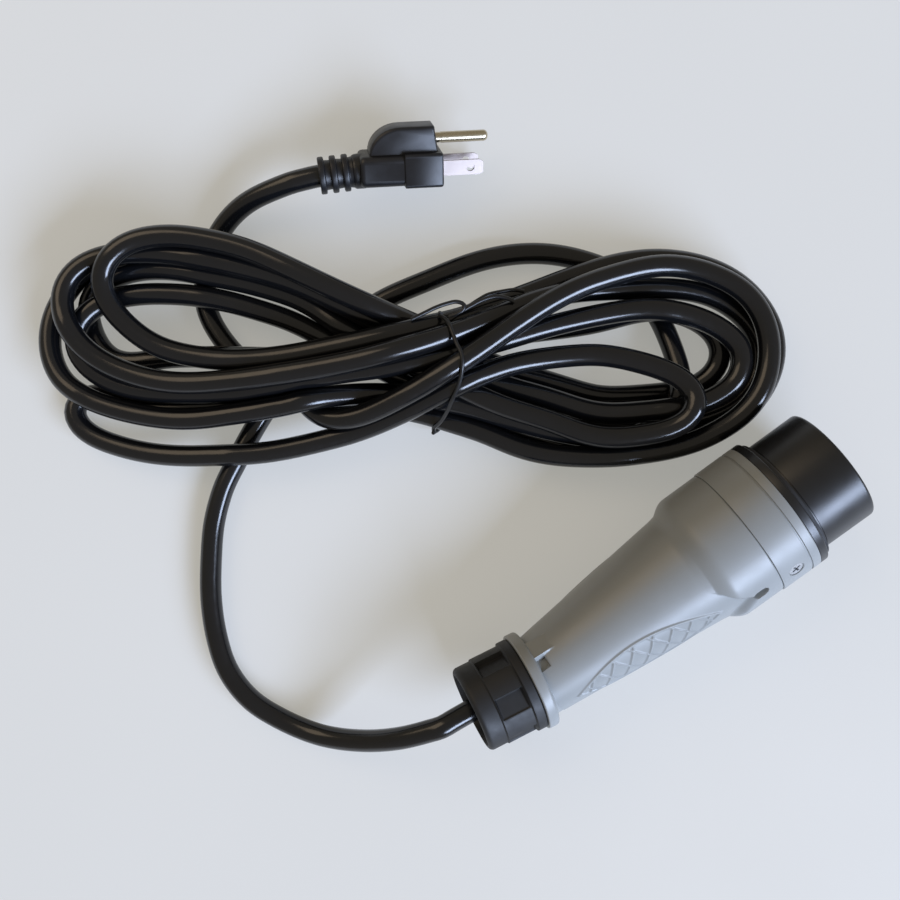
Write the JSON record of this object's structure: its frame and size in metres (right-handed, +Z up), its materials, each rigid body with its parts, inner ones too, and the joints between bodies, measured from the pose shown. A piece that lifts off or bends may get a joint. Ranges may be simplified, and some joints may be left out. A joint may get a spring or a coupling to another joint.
{
  "type": "golf cart charging cable",
  "caption": "Charging cable with a large round hand-held connector, a bent cable gland, a moulded mains plug and a tied figure-of-eight hank of black cord.",
  "frame": {"origin": "on the table, under the middle of the connector's length and width", "axes": "+X along the connector from its gland to its nose, +Y to the side on which the hank lies, +Z up from the table"},
  "size_m": [0.2961, 0.2963, 0.0609],
  "materials": {
    "grey_plastic": "satin, fine moulded grain",
    "nose_plastic": "satin black",
    "black_nylon": "matte, fine grain",
    "insert_plastic": "matte",
    "cream_plastic": "matte",
    "seal_rubber": "matte",
    "brass": "satin",
    "zinc_steel": "zinc-plated",
    "nickel": "nickel-plated",
    "plug_vinyl": "soft satin vinyl",
    "jacket_vinyl": "semi-gloss vinyl",
    "tie_vinyl": "semi-gloss vinyl over wire",
    "lead_black": "smooth insulation",
    "lead_white": "smooth insulation",
    "lead_green": "smooth insulation"
  },
  "bodies": {
    "root": {"handle_shell": "grey_plastic", "head_ring": "grey_plastic", "ring_screws": "zinc_steel", "nose_barrel": "nose_plastic", "flange_seal": "seal_rubber", "contact_insert": "insert_plastic", "terminal_block": "cream_plastic", "contact_line": "brass", "contact_neutral": "brass", "contact_earth": "brass", "terminal_screws": "zinc_steel", "lead_line": "lead_black", "lead_neutral": "lead_white", "lead_earth": "lead_green", "gland_nut": "black_nylon", "gland_clamp": "black_nylon", "gland_seal": "seal_rubber", "plug_body": "plug_vinyl", "plug_line_blade": "nickel", "plug_neutral_blade": "nickel", "plug_earth_pin": "nickel", "twist_tie": "tie_vinyl", "cord_gland_tail": "jacket_vinyl", "cord_bow": "jacket_vinyl", "cord_hank": "jacket_vinyl", "cord_plug_tail": "jacket_vinyl"}
  },
  "joints": []
}
